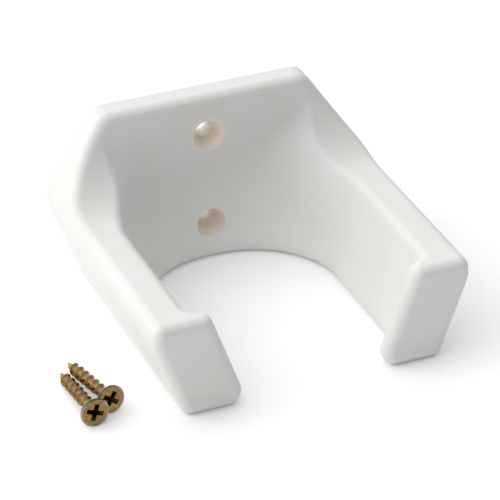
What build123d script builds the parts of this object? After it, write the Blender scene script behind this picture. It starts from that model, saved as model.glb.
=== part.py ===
from build123d import *
import math
import os

# A wall-mounted rod holder: one moulded U-shaped bracket and its two countersunk wood screws.
# Frame: X across, +Y into the wall, +Z up.  The wall face of the bracket is the plane Y = 0, the
# bracket's flat underside is Z = 0, and X = 0 is its plane of symmetry.  Millimetres and degrees.

# ---- bracket: six-sided front outline ----
TOP_HALF_WIDTH = 30.8
WIDE_HALF_WIDTH = 46.5
WIDE_HEIGHT = 26.4
BASE_HALF_WIDTH = 37.0
PLATE_HEIGHT = 49.9
WIDE_ROUND = 12.0
SHOULDER_ROUND = 5.0
BASE_ROUND = 3.0

# ---- bracket: side outline ----
PLATE_THICKNESS = 7.5
ARM_LENGTH = 82.7
ARM_HEIGHT = 28.8
WEB_RADIUS = 20.0

# ---- bracket: cradle between the arms ----
# It opens upward: a half circle at the bottom, tighter corners further up (height, corner radius).
CRADLE_HALF_WIDTH = 26.2
CRADLE_LEAN = 15.7
CRADLE_BACK = 11.9
CRADLE_BACK_SLOPE = 0.089
CRADLE_CORNERS = (
    (0.0, 25.8),
    (14.0, 25.6),
    (27.0, 25.0),
    (32.5, 20.5),
    (38.5, 13.2),
    (44.5, 8.6),
    (51.5, 6.5),
)
CRADLE_OVERRUN = 5.0

# ---- bracket: retaining lips at the tips ----
LIP_TOP_X = 29.2
LIP_BASE_X = 18.9
LIP_THICKNESS = 5.0
LIP_SLOPE = 31.0
LIP_CORNER_ROUND = 4.0

# ---- bracket: edges ----
EDGE_ROUND = 2.8
SHARP_ANGLE = 6.0
TOUCH = 0.01

# ---- screw holes, sunk from the front ----
HOLE_HEIGHTS = (11.2, 38.5)
HOLE_RADIUS = 2.4
SINK_RADIUS = 4.4
SINK_SEAT = 4.2
SINK_ROUND = 0.5
RIM_CLEARANCE = 1.0
HOLE_OVERRUN = 3.0

# ---- screws ----
SCREW_LENGTH = 25.4
HEAD_RADIUS = 4.0
HEAD_RIM = 0.4
NECK_RADIUS = 1.3
THREAD_RADIUS = 1.85
THREAD_ROOT = 1.2
THREAD_PITCH = 2.9
THREAD_START = 3.4
THREAD_TURNS = 7
THREAD_FULL_TURNS = 6
THREAD_SHAPE = ((THREAD_ROOT, 0.3), (THREAD_RADIUS, 0.5), (THREAD_ROOT, 0.7))
POINT_LENGTH = 5.0
RECESS_SPAN = 4.6
RECESS_WIDTH = 1.1
RECESS_FLOOR_WIDTH = 0.5
RECESS_DEPTH = 2.2

# Each screw: name, head centre X and Y, heading of its point from +Y towards -X, roll of its recess.
SCREWS = (
    ("screw_front", -59.9, -76.1, 1.5, 20.0),
    ("screw_rear", -54.0, -72.1, 7.3, 35.0),
)


def front_outline():
    """The six-sided front shape, run forward over the whole depth."""
    corners = [
        (-BASE_HALF_WIDTH, 0),
        (-WIDE_HALF_WIDTH, WIDE_HEIGHT),
        (-TOP_HALF_WIDTH, PLATE_HEIGHT),
        (TOP_HALF_WIDTH, PLATE_HEIGHT),
        (WIDE_HALF_WIDTH, WIDE_HEIGHT),
        (BASE_HALF_WIDTH, 0),
    ]
    face = make_face(Polyline(corners, close=True))
    for height, radius in ((WIDE_HEIGHT, WIDE_ROUND), (PLATE_HEIGHT, SHOULDER_ROUND), (0, BASE_ROUND)):
        pair = [v for v in face.vertices() if math.isclose(v.Y, height, abs_tol=TOUCH)]
        face = fillet(pair, radius)
    return extrude(Plane.XZ * face, ARM_LENGTH)


def side_outline():
    """Plate, arms and the concave web that joins them, seen from the side."""
    face = make_face(Polyline([
        (0, 0),
        (0, PLATE_HEIGHT),
        (-PLATE_THICKNESS, PLATE_HEIGHT),
        (-PLATE_THICKNESS, ARM_HEIGHT),
        (-ARM_LENGTH, ARM_HEIGHT),
        (-ARM_LENGTH, 0),
    ], close=True))
    web = face.vertices().sort_by_distance((-PLATE_THICKNESS, ARM_HEIGHT))[0]
    face = fillet(web, WEB_RADIUS)
    return extrude(Plane.YZ * face, WIDE_HALF_WIDTH, both=True)


def cradle_section(height, radius):
    half = CRADLE_HALF_WIDTH + height * math.tan(math.radians(CRADLE_LEAN))
    back = -CRADLE_BACK + height * CRADLE_BACK_SLOPE
    front = -ARM_LENGTH - CRADLE_OVERRUN
    face = make_face(Polyline([(-half, front), (-half, back), (half, back), (half, front)], close=True))
    deep = face.vertices().sort_by(Axis.Y)[-2:]
    return Pos(0, 0, height) * fillet(deep, radius)


def cradle():
    return loft([cradle_section(height, radius) for height, radius in CRADLE_CORNERS])


def lip(side):
    """One inward lip at an arm's tip: a wedge that leans outward like the arm's outer face."""
    lean = (LIP_TOP_X - LIP_BASE_X) / ARM_HEIGHT
    reach = WIDE_HALF_WIDTH - LIP_BASE_X
    back = -ARM_LENGTH + LIP_THICKNESS
    face = make_face(Polyline([
        (side * LIP_BASE_X, -ARM_LENGTH),
        (side * LIP_BASE_X, back),
        (side * WIDE_HALF_WIDTH, back + reach * math.tan(math.radians(LIP_SLOPE))),
        (side * WIDE_HALF_WIDTH, -ARM_LENGTH),
    ], close=True))
    return extrude(face, ARM_HEIGHT * math.hypot(1, lean), dir=(side * lean, 0, 1))


def sharp_edges(body):
    """Edges where two faces meet at an angle, leaving out the tangent seams of the rounds."""
    faces_of = {}
    for face in body.faces():
        for edge in face.edges():
            faces_of.setdefault(hash(edge), (edge, []))[1].append(face)
    sharp = []
    for edge, faces in faces_of.values():
        normals = [face.normal_at(edge.position_at(0.5)) for face in faces]
        if len(normals) == 2 and normals[0].get_angle(normals[1]) > SHARP_ANGLE:
            sharp.append(edge)
    return sharp


def on_wall_face(edge):
    return edge.bounding_box().min.Y > -TOUCH


def is_lip_corner(edge):
    return edge.bounding_box().size.X < TOUCH and abs(abs(edge.center().X) - LIP_BASE_X) < TOUCH


def round_edges(body):
    """The lips' lower inner corners first, then every other sharp edge; only the wall face stays crisp."""
    body = fillet([e for e in body.edges() if is_lip_corner(e)], LIP_CORNER_ROUND)
    return fillet([e for e in sharp_edges(body) if not on_wall_face(e)], EDGE_ROUND)


def screw_hole(height):
    """Through hole with a deep conical sink that opens to SINK_RADIUS at the cradle's back."""
    front = CRADLE_BACK - height * CRADLE_BACK_SLOPE
    flare = (SINK_RADIUS - HOLE_RADIUS) / (front - SINK_SEAT)
    reach = front + HOLE_OVERRUN
    outline = make_face(Polyline([
        (0, -HOLE_OVERRUN),
        (HOLE_RADIUS, -HOLE_OVERRUN),
        (HOLE_RADIUS, SINK_SEAT),
        (HOLE_RADIUS + flare * (reach - SINK_SEAT), reach),
        (0, reach),
    ], close=True))
    return Pos(0, 0, height) * Rot(90, 0, 0) * revolve(Plane.XZ * outline, Axis.Z)


def is_hole_rim(edge):
    """The mouth of a sink: a closed ring about X = 0, in front of the plate's middle."""
    box = edge.bounding_box()
    small = box.size.X < 3 * SINK_RADIUS and box.size.Y < HOLE_OVERRUN
    return small and box.max.Y < -SINK_SEAT - RIM_CLEARANCE and abs(edge.center().X) < TOUCH


def bracket():
    prism = front_outline()
    profile = side_outline()
    body = (prism & profile) - cradle()
    for side in (-1, 1):
        body += lip(side) & prism & profile
    body = round_edges(body)
    for height in HOLE_HEIGHTS:
        body -= screw_hole(height)
    return fillet([e for e in sharp_edges(body) if is_hole_rim(e)], SINK_ROUND)


def screw_profile():
    """Half outline (radius, distance from the head's face): one ring per thread turn and a sharp point."""
    points = [
        (0, 0),
        (HEAD_RADIUS, 0),
        (HEAD_RADIUS, HEAD_RIM),
        (NECK_RADIUS, HEAD_RIM + HEAD_RADIUS - NECK_RADIUS),
    ]
    for turn in range(THREAD_TURNS):
        for radius, step in THREAD_SHAPE:
            station = THREAD_START + (turn + step) * THREAD_PITCH
            points.append((radius * min(1, (SCREW_LENGTH - station) / POINT_LENGTH), station))
    points.append((0, SCREW_LENGTH))
    return points


def recess_blade(turn):
    """One of the two blades of the cross recess; it narrows towards the recess floor."""
    mouth = Rot(0, 0, turn) * Rectangle(RECESS_SPAN, RECESS_WIDTH)
    floor = Pos(0, 0, RECESS_DEPTH) * Rot(0, 0, turn) * Rectangle(RECESS_WIDTH, RECESS_FLOOR_WIDTH)
    return loft([mouth, floor])


def screw(head_x, head_y, heading, roll):
    """A screw lying on the ground: its head rim and its last full thread turn both touch Z = 0."""
    body = revolve(Plane.XZ * make_face(Polyline(screw_profile(), close=True)), Axis.Z)
    for turn in (0, 90):
        body -= recess_blade(turn)
    last_crest = THREAD_START + (THREAD_FULL_TURNS - 0.5) * THREAD_PITCH
    tilt = math.degrees(math.atan2(HEAD_RADIUS - THREAD_RADIUS, last_crest - HEAD_RIM))
    body = Rot(0, 0, heading) * Rot(-90 - tilt, 0, 0) * Rot(0, 0, roll) * body
    return Pos(head_x, head_y, -body.bounding_box().min.Z) * body


if __name__ == "__main__":
    os.makedirs("parts", exist_ok=True)
    export_step(bracket(), "parts/bracket.step")
    for name, *placing in SCREWS:
        export_step(screw(*placing), f"parts/{name}.step")
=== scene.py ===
import bmesh
import bpy
import math
from mathutils import Matrix, Vector


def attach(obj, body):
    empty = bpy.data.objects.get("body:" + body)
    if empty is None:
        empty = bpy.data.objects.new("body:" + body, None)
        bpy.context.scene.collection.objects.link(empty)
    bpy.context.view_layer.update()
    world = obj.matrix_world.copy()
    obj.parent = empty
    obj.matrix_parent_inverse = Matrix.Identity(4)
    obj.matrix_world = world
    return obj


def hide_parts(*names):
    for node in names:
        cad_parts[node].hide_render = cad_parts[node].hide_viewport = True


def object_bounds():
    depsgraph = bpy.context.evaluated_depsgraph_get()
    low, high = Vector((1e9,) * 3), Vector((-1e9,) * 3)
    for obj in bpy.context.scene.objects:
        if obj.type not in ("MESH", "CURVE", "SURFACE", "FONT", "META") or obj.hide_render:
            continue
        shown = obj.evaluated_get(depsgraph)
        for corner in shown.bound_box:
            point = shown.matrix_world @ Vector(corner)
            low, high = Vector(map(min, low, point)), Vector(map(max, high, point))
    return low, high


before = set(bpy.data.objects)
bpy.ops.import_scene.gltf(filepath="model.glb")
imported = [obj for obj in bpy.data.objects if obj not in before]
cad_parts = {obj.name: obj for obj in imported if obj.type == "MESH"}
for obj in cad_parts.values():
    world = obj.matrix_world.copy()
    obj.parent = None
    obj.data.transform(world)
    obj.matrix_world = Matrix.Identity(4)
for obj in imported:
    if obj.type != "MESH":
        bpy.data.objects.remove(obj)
cad_lo, cad_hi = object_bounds()
MM = 0.001

# ---- screws: millimetres, as the CAD screws have them ----
SCREW_LENGTH = 25.4
HEAD_RADIUS = 4.0
HEAD_RIM = 0.4
HEAD_CHAMFER = 0.16
HEAD_DOME = 0.03
NECK_RADIUS = 1.3
CAD_THREAD_RADIUS = 1.85
THREAD_RADIUS = 1.84
THREAD_ROOT = 1.2
THREAD_PITCH = 2.9
THREAD_START = 3.4
THREAD_FULL_TURNS = 6
LAST_CREST = THREAD_START + (THREAD_FULL_TURNS - 0.5) * THREAD_PITCH
RIDGE_HALF_WIDTH = 0.2
RIDGE_FLAT = 1.12
POINT_LENGTH = 5.0
POINT_FADE = (1.6, 0.35)
RECESS_SPAN = 4.8
RECESS_WIDTH = 1.4
RECESS_FLOOR_SPAN = 1.1
RECESS_FLOOR_WIDTH = 0.5
RECESS_DEPTH = 2.2
RECESS_ABOVE = 0.1
RECESS_MARGIN = 0.1
RECESS_HEIGHTS = (0.02, RECESS_DEPTH + 0.05)
SCREW_COLUMNS = 72
SCREW_STEP = 0.09
SHARP_ANGLE = math.radians(38)

# Each screw: CAD node and body, head centre X and Y, heading from +Y towards -X, roll of its recess.
SCREWS = (
    ("screw_front", -59.9, -76.1, 1.5, 20.0),
    ("screw_rear", -54.0, -72.1, 7.3, 35.0),
)

# ---- bracket: heights of its screw holes, and where inside them painted warm bounce light is laid on the plastic ----
HOLE_HEIGHTS = (11.2, 38.5)
HOLE_MIDDLE = 7.0
HOLE_WARM_REACH = 6.4
HOLE_WARM_CORE = 0.55

# ---- colours ----
COOL_WHITE = (0.748, 0.738, 0.724)
WARM_WHITE = (0.732, 0.716, 0.696)
# Warm colour painted inside the screw holes: painted bounce light, not a colour of the plastic.
PAINTED_HOLE_BOUNCE = (0.88, 0.79, 0.69)
BRASS = (0.30, 0.22, 0.055)
OLIVE = (0.14, 0.12, 0.03)
COPPER = (0.24, 0.11, 0.075)
AMBER = (0.40, 0.30, 0.09)
# Paler silvers for the screw heads' rim: a painted highlight around the rim.
RIM_HIGHLIGHT_DARK = (0.20, 0.19, 0.15)
RIM_HIGHLIGHT_SILVER = (0.36, 0.34, 0.29)
# Dark browns for the screws' cross recess: painted shade in the hollow.
RECESS_SHADE_DARK = (0.05, 0.04, 0.02)
RECESS_SHADE_BROWN = (0.09, 0.065, 0.04)
FLOOR_WHITE = (0.93, 0.93, 0.93)

# ---- grain of the materials: noise and band scales per metre, bump depths in metres ----
MOTTLE_SCALE = 60.0
LAYER_SCALE = 209.0
LAYER_DEPTH = 0.00007
GRAIN_SCALE = 2600.0
GRAIN_DEPTH = 0.00002
GLOSS_SCALE = 400.0
DRIFT_SCALE = 420.0
WEAR_SCALE = 1500.0
WEAR_DEPTH = 0.00003

# ---- studio: metres and watts ----
CAMERA_PLACE = (-0.26997, -0.67019, 0.43994)
CAMERA_AIM = (0.01616, -0.00025, -0.00766)
CAMERA_LENS = 212.0
CAMERA_SENSOR = 36.0
FLOOR_HALF_SIZE = 3.0
SKY_TOWARD = (-0.40, 0.5, 0.76)
SKY_DIM = 0.08
SKY_BRIGHT = 1.5
SKY_SPREAD = (-0.25, 0.95)
KEY_PLACE = (-0.9, 0.25, 0.8)
KEY_AIM = (0, -0.04, 0.02)
KEY_SIZE = 0.9
KEY_POWER = 3.0


# ---------------------------------------------------------------- node helpers
def new_material(name):
    """A new material, its node tree and its shader."""
    material = bpy.data.materials.new(name)
    material.use_nodes = True
    tree = material.node_tree
    return material, tree, tree.nodes["Principled BSDF"]


def new_node(tree, kind, settings=None, **inputs):
    """A node with its settings and the values of its input sockets, named with _ for a space."""
    node = tree.nodes.new(kind)
    for name, value in (settings or {}).items():
        setattr(node, name, value)
    for name, value in inputs.items():
        node.inputs[name.replace("_", " ")].default_value = value
    return node


def object_place(tree):
    return new_node(tree, "ShaderNodeTexCoord").outputs["Object"]


def noise(tree, scale, detail, roughness=0.5):
    """Noise fixed to the object."""
    node = new_node(tree, "ShaderNodeTexNoise", Scale=scale, Detail=detail, Roughness=roughness)
    tree.links.new(object_place(tree), node.inputs["Vector"])
    return node.outputs["Fac"]


def ramp(tree, source, stops):
    """source as a colour, by (place, colour) stops."""
    node = new_node(tree, "ShaderNodeValToRGB")
    marks = node.color_ramp.elements
    while len(marks) < len(stops):
        marks.new(0.5)
    for mark, (place, colour) in zip(marks, stops):
        mark.position = place
        mark.color = (*colour, 1)
    tree.links.new(source, node.inputs["Fac"])
    return node.outputs["Color"]


def remap(tree, source, low, high):
    """source, from 0 to 1, as a value from low to high."""
    node = new_node(tree, "ShaderNodeMapRange", To_Min=low, To_Max=high)
    tree.links.new(source, node.inputs["Value"])
    return node.outputs["Result"]


def bump(tree, source, strength, depth, below=None):
    """source as a relief, on top of the relief below it."""
    node = new_node(tree, "ShaderNodeBump", Strength=strength, Distance=depth)
    tree.links.new(source, node.inputs["Height"])
    if below is not None:
        tree.links.new(below, node.inputs["Normal"])
    return node.outputs["Normal"]


# ---------------------------------------------------------------- materials
def near_hole(tree, height):
    """Mask for the painted warm bounce light: 1 deep inside the hole at that height, 0 outside it."""
    away = new_node(tree, "ShaderNodeVectorMath", {"operation": "DISTANCE"})
    away.inputs[1].default_value = (0, -HOLE_MIDDLE * MM, height * MM)
    tree.links.new(object_place(tree), away.inputs[0])
    mask = new_node(tree, "ShaderNodeMapRange", {"interpolation_type": "SMOOTHSTEP"})
    mask.inputs["From Min"].default_value = HOLE_WARM_REACH * MM
    mask.inputs["From Max"].default_value = HOLE_WARM_CORE * HOLE_WARM_REACH * MM
    tree.links.new(away.outputs["Value"], mask.inputs["Value"])
    return mask.outputs["Result"]


def paint_bounce_in_holes(tree, colour):
    """colour, turning to a warm colour inside either hole: painted warm bounce light."""
    either = new_node(tree, "ShaderNodeMath", {"operation": "MAXIMUM"})
    for socket, height in zip(either.inputs, HOLE_HEIGHTS):
        tree.links.new(near_hole(tree, height), socket)
    mix = new_node(tree, "ShaderNodeMix", {"data_type": "RGBA"})
    plain, tinted = [socket for socket in mix.inputs if socket.type == "RGBA"]
    tinted.default_value = (*PAINTED_HOLE_BOUNCE, 1)
    tree.links.new(either.outputs["Value"], mix.inputs["Factor"])
    tree.links.new(colour, plain)
    return next(socket for socket in mix.outputs if socket.type == "RGBA")


def layer_lines(tree):
    """Fine horizontal bands, one above the other."""
    bands = new_node(tree, "ShaderNodeTexWave", {"wave_type": "BANDS", "bands_direction": "Z"},
                     Scale=LAYER_SCALE, Distortion=0.25, Detail=1.0)
    tree.links.new(object_place(tree), bands.inputs["Vector"])
    return bands.outputs["Fac"]


def white_plastic():
    """Matte white plastic: fine horizontal layer lines, a faint grain, a faint warm mottling and painted warm
    bounce light inside the screw holes.
    """
    material, tree, shader = new_material("white_plastic")
    mottled = ramp(tree, noise(tree, MOTTLE_SCALE, 2.0), ((0.35, WARM_WHITE), (0.65, COOL_WHITE)))
    lines = bump(tree, layer_lines(tree), 0.5, LAYER_DEPTH)
    relief = bump(tree, noise(tree, GRAIN_SCALE, 2.0), 0.35, GRAIN_DEPTH, lines)
    tree.links.new(paint_bounce_in_holes(tree, mottled), shader.inputs["Base Color"])
    tree.links.new(relief, shader.inputs["Normal"])
    tree.links.new(remap(tree, noise(tree, GLOSS_SCALE, 2.0), 0.42, 0.52), shader.inputs["Roughness"])
    shader.inputs["Specular IOR Level"].default_value = 0.22
    return material


def plated_steel(name, stops, smooth, rough):
    """Plated steel: its colour drifts through the stops, and its roughness between smooth and rough."""
    material, tree, shader = new_material(name)
    wear = noise(tree, WEAR_SCALE, 3.0)
    tree.links.new(ramp(tree, noise(tree, DRIFT_SCALE, 3.0, 0.6), stops), shader.inputs["Base Color"])
    tree.links.new(remap(tree, wear, smooth, rough), shader.inputs["Roughness"])
    tree.links.new(bump(tree, wear, 0.4, WEAR_DEPTH), shader.inputs["Normal"])
    shader.inputs["Metallic"].default_value = 1.0
    return material


def floor_material():
    material, _, shader = new_material("floor")
    shader.inputs["Base Color"].default_value = (*FLOOR_WHITE, 1)
    shader.inputs["Roughness"].default_value = 0.9
    shader.inputs["Specular IOR Level"].default_value = 0.1
    # The floor glows faintly: painted light that keeps it white and lifts the shadows on it.
    shader.inputs["Emission Color"].default_value = (1, 1, 1, 1)
    shader.inputs["Emission Strength"].default_value = 0.08
    return material


# ---------------------------------------------------------------- screw meshes
def linked(name, data):
    made = bpy.data.objects.new(name, data)
    bpy.context.scene.collection.objects.link(made)
    return made


def solid(name, verts, faces):
    mesh = bpy.data.meshes.new(name)
    mesh.from_pydata(verts, [], faces)
    mesh.validate()
    return linked(name, mesh)


def clamp(value):
    return min(1.0, max(0.0, value))


def thread_radius(station, turn):
    """Radius at a distance from the head's face.  turn is the angle in whole turns, zero underneath."""
    phase = (station - LAST_CREST) / THREAD_PITCH - turn
    phase -= round(phase)
    ridge = clamp(RIDGE_FLAT * clamp(1 - abs(phase) / RIDGE_HALF_WIDTH))
    start = clamp((station - THREAD_START) / THREAD_PITCH)
    taper = clamp((SCREW_LENGTH - station) / POINT_LENGTH)
    end = clamp(POINT_FADE[0] * taper - POINT_FADE[1])
    return THREAD_ROOT * taper + (THREAD_RADIUS - THREAD_ROOT) * end * ridge * start


def screw_radius(station, turn):
    """The largest of the head's cone, the neck and the thread."""
    if station <= HEAD_RIM:
        return HEAD_RADIUS
    cone = HEAD_RADIUS - (station - HEAD_RIM)
    thread = thread_radius(station, turn)
    if station < THREAD_START:
        return max(cone, NECK_RADIUS, thread)
    return max(cone, THREAD_ROOT if station < THREAD_START + THREAD_PITCH / 2 else 0.0, thread)


def screw_rings():
    """(distance from the head's face, radius by turn) of each ring, from the head's face to near the point."""
    rings = [
        (0.0, lambda station, turn: HEAD_RADIUS - 3 * HEAD_CHAMFER),
        (HEAD_DOME, lambda station, turn: HEAD_RADIUS - HEAD_CHAMFER),
        (HEAD_CHAMFER, lambda station, turn: HEAD_RADIUS),
    ]
    count = int((SCREW_LENGTH - HEAD_RIM) / SCREW_STEP)
    for i in range(count):
        rings.append((HEAD_RIM + i * (SCREW_LENGTH - HEAD_RIM) / count, screw_radius))
    return rings


def screw_body():
    """A closed skin over the rings, with a sharp point."""
    rings = screw_rings()
    verts, faces = [(0.0, 0.0, 0.0)], []
    for station, radius_at in rings:
        for j in range(SCREW_COLUMNS):
            turn = j / SCREW_COLUMNS
            angle = math.pi / 2 + 2 * math.pi * turn
            r = radius_at(station, turn)
            verts.append((r * math.cos(angle), r * math.sin(angle), station))
    verts.append((0.0, 0.0, SCREW_LENGTH))
    point = len(verts) - 1
    last = 1 + (len(rings) - 1) * SCREW_COLUMNS
    for j in range(SCREW_COLUMNS):
        k = (j + 1) % SCREW_COLUMNS
        faces.append((0, 1 + k, 1 + j))
        faces.append((point, last + j, last + k))
        for i in range(len(rings) - 1):
            a, b = 1 + i * SCREW_COLUMNS, 1 + (i + 1) * SCREW_COLUMNS
            faces.append((a + j, a + k, b + k, b + j))
    return solid("screw_body", verts, faces)


def cross_outline(span, width, height):
    """The twelve corners of an upright cross."""
    s, w = span / 2, width / 2
    arm = [(s, -w), (s, w), (w, w)]
    arms = [arm, [(-y, x) for x, y in arm], [(-x, -y) for x, y in arm], [(y, -x) for x, y in arm]]
    return [(x, y, height) for corners in arms for x, y in corners]


def recess_cutter():
    """The cross recess as a closed solid that starts a little above the head's face."""
    slope = (RECESS_SPAN - RECESS_FLOOR_SPAN) / RECESS_SPAN / RECESS_DEPTH
    mouth = cross_outline(RECESS_SPAN * (1 + slope * RECESS_ABOVE), RECESS_WIDTH, -RECESS_ABOVE)
    bottom = cross_outline(RECESS_FLOOR_SPAN, RECESS_FLOOR_WIDTH, RECESS_DEPTH)
    n = len(mouth)
    faces = [tuple(reversed(range(n))), tuple(range(n, 2 * n))]
    faces += [(i, (i + 1) % n, n + (i + 1) % n, n + i) for i in range(n)]
    return solid("recess_cutter", mouth + bottom, faces)


def turn_outward(mesh):
    bm = bmesh.new()
    bm.from_mesh(mesh)
    bmesh.ops.recalc_face_normals(bm, faces=bm.faces)
    bm.to_mesh(mesh)
    bm.free()


def cut(body, cutter):
    """The mesh of body with cutter taken out of it; both objects are used up."""
    modifier = body.modifiers.new("recess", "BOOLEAN")
    modifier.operation = "DIFFERENCE"
    modifier.solver = "EXACT"
    modifier.object = cutter
    bpy.context.view_layer.update()
    ready = body.evaluated_get(bpy.context.evaluated_depsgraph_get())
    mesh = bpy.data.meshes.new_from_object(ready)
    bpy.data.objects.remove(cutter)
    bpy.data.objects.remove(body)
    return mesh


def finish_of(centre):
    """Which of the screw's three finishes a face takes: 0 plating, 1 recess darkened with painted shade, 2 head
    rim lightened with a painted highlight.
    """
    out = centre.xy.length
    low, high = RECESS_HEIGHTS
    if out < RECESS_SPAN / 2 + RECESS_MARGIN and low < centre.z < high:
        return 1
    return 2 if centre.z < 2 * HEAD_RIM and out > HEAD_RADIUS - 3 * HEAD_CHAMFER else 0


def lying(head_x, head_y, heading):
    """Puts a screw that stands on its head's face at the origin down on the floor, in metres."""
    tilt = math.atan2(HEAD_RADIUS - CAD_THREAD_RADIUS, LAST_CREST - HEAD_RIM)
    height = HEAD_RADIUS * math.cos(tilt) + HEAD_RIM * math.sin(tilt)
    lay = Matrix.Rotation(-math.pi / 2 - tilt, 4, "X")
    turn = Matrix.Rotation(math.radians(heading), 4, "Z")
    return Matrix.Scale(MM, 4) @ Matrix.Translation((head_x, head_y, height)) @ turn @ lay


def screw(name, head_x, head_y, heading, roll, *finishes):
    """A wood screw with a helical thread in place of the CAD screw's rings."""
    body, cutter = screw_body(), recess_cutter()
    turn_outward(body.data)
    turn_outward(cutter.data)
    cutter.data.transform(Matrix.Rotation(math.radians(roll), 4, "Z"))
    mesh = cut(body, cutter)
    mesh.materials.clear()
    for finish in finishes:
        mesh.materials.append(finish)
    for face in mesh.polygons:
        face.material_index = finish_of(face.center)
    mesh.transform(lying(head_x, head_y, heading))
    mesh.shade_smooth()
    mesh.set_sharp_from_angle(angle=SHARP_ANGLE)
    piece = linked(name + "_threaded", mesh)
    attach(piece, name)
    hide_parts(name)


# ---------------------------------------------------------------- studio
def aim_of(place, target):
    return (Vector(target) - Vector(place)).to_track_quat("-Z", "Y").to_euler()


def floor(height):
    s = FLOOR_HALF_SIZE
    made = solid("floor", [(-s, -s, height), (s, -s, height), (s, s, height), (-s, s, height)], [(0, 1, 2, 3)])
    made.data.materials.append(floor_material())


def key_light():
    lamp = bpy.data.lights.new("key", "AREA")
    lamp.shape = "DISK"
    lamp.size = KEY_SIZE
    lamp.energy = KEY_POWER
    made = linked("key", lamp)
    made.location = KEY_PLACE
    made.rotation_euler = aim_of(KEY_PLACE, KEY_AIM)


def sky():
    """A dome that is bright on one side and dim on the other."""
    world = bpy.data.worlds.new("studio")
    bpy.context.scene.world = world
    world.use_nodes = True
    tree = world.node_tree
    coord = new_node(tree, "ShaderNodeTexCoord")
    along = new_node(tree, "ShaderNodeVectorMath", {"operation": "DOT_PRODUCT"})
    along.inputs[1].default_value = Vector(SKY_TOWARD).normalized()
    spread = new_node(tree, "ShaderNodeMapRange", {"interpolation_type": "SMOOTHSTEP"},
                      From_Min=SKY_SPREAD[0], From_Max=SKY_SPREAD[1], To_Min=SKY_DIM, To_Max=SKY_BRIGHT)
    back = tree.nodes["Background"]
    back.inputs["Color"].default_value = (1, 1, 1, 1)
    tree.links.new(coord.outputs["Generated"], along.inputs[0])
    tree.links.new(along.outputs["Value"], spread.inputs["Value"])
    tree.links.new(spread.outputs["Result"], back.inputs["Strength"])


def camera():
    data = bpy.data.cameras.new("camera")
    data.sensor_width = CAMERA_SENSOR
    data.lens = CAMERA_LENS
    data.clip_start, data.clip_end = 0.01, 20.0
    made = linked("camera", data)
    made.location = CAMERA_PLACE
    made.rotation_euler = aim_of(CAMERA_PLACE, CAMERA_AIM)
    bpy.context.scene.camera = made


# ---------------------------------------------------------------- the object
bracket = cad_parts["bracket"]
bracket.data.materials.clear()
bracket.data.materials.append(white_plastic())

plating = plated_steel("plated_steel", ((0.32, OLIVE), (0.44, BRASS), (0.56, COPPER), (0.68, AMBER)), 0.14, 0.3)
# The recess finish is darker than the plating: painted shade in the cross recess.
recess = plated_steel("recess_painted_shade_steel", ((0.3, RECESS_SHADE_DARK), (0.7, RECESS_SHADE_BROWN)), 0.45, 0.6)
# The rim finish is paler than the plating: a painted highlight around the head's rim.
rim = plated_steel("rim_highlight_steel", ((0.35, RIM_HIGHLIGHT_DARK), (0.65, RIM_HIGHLIGHT_SILVER)), 0.2, 0.35)
for placing in SCREWS:
    screw(*placing, plating, recess, rim)

floor(cad_lo.z)
sky()
key_light()
camera()
bpy.context.scene.view_settings.view_transform = "Standard"
